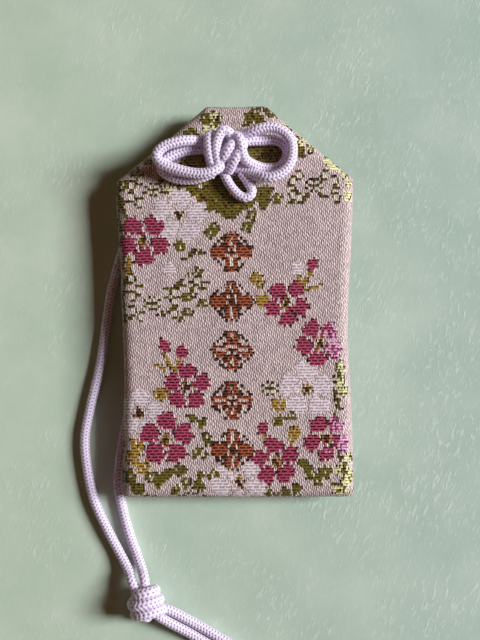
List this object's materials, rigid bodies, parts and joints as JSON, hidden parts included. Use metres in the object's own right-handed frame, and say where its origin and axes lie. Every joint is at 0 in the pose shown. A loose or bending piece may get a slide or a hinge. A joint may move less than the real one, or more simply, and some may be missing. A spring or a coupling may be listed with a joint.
{
  "type": "omamori charm",
  "caption": "Brocade omamori pouch around a wrapped wooden tablet, tied shut with a braided cord bow and hung on a doubled cord with a stop knot.",
  "frame": {"origin": "under the middle of the pouch, on the surface that it lies on", "axes": "+X to the right of the face, +Y towards the pouch's mouth, +Z out of the face"},
  "size_m": [0.0592, 0.1224, 0.0133],
  "materials": {
    "brocade": "woven brocade, pinkish beige ground with coloured floral wefts",
    "lining": "matt non-woven",
    "seam_thread": "matt thread",
    "card": "matt pressed card",
    "wood": "planed bare wood",
    "wrapper_paper": "matt white paper",
    "cord": "braided white cord with a lavender tint"
  },
  "bodies": {
    "pouch": {"brocade_front": "brocade", "brocade_back": "brocade", "lining_front": "lining", "lining_back": "lining", "left_shoulder_tuck": "brocade", "right_shoulder_tuck": "brocade", "left_seam_thread": "seam_thread", "right_seam_thread": "seam_thread", "stiffener_card": "card", "wooden_tablet": "wood", "tablet_wrapper": "wrapper_paper", "knot_left_pass_inner": "cord", "knot_left_pass_outer": "cord", "knot_lower_pass_inner": "cord", "knot_lower_pass_outer": "cord", "knot_right_pass_inner": "cord", "knot_right_pass_outer": "cord", "knot_upper_pass_inner": "cord", "knot_upper_pass_outer": "cord"},
    "left_ear": {"left_ear_upper_turn": "cord", "left_ear_lower_turn": "cord"},
    "right_ear": {"right_ear_outer_turn": "cord", "right_ear_inner_turn": "cord"},
    "lower_ear": {"lower_ear": "cord"},
    "hanging_cord": {"hanging_strand_outer": "cord", "hanging_strand_inner": "cord", "stop_knot": "cord", "tail_outer": "cord", "tail_inner": "cord"}
  },
  "joints": [
    {"name": "cord_swing", "type": "hinge", "parent": "pouch", "child": "hanging_cord", "pos_m": [-0.0019, 0.031, 0.004], "axis": [0, 0, 1], "range_deg": [-165, 0]},
    {"name": "left_ear_lift", "type": "hinge", "parent": "pouch", "child": "left_ear", "pos_m": [-0.00859, 0.0295, 0.0129], "axis": [0, 1, 0], "range_deg": [0, 45]},
    {"name": "right_ear_lift", "type": "hinge", "parent": "pouch", "child": "right_ear", "pos_m": [0.00479, 0.0298, 0.0129], "axis": [0, -1, 0], "range_deg": [0, 45]},
    {"name": "lower_ear_lift", "type": "hinge", "parent": "pouch", "child": "lower_ear", "pos_m": [-0.0003, 0.02431, 0.0103], "axis": [-1, 0, 0], "range_deg": [0, 45]}
  ]
}
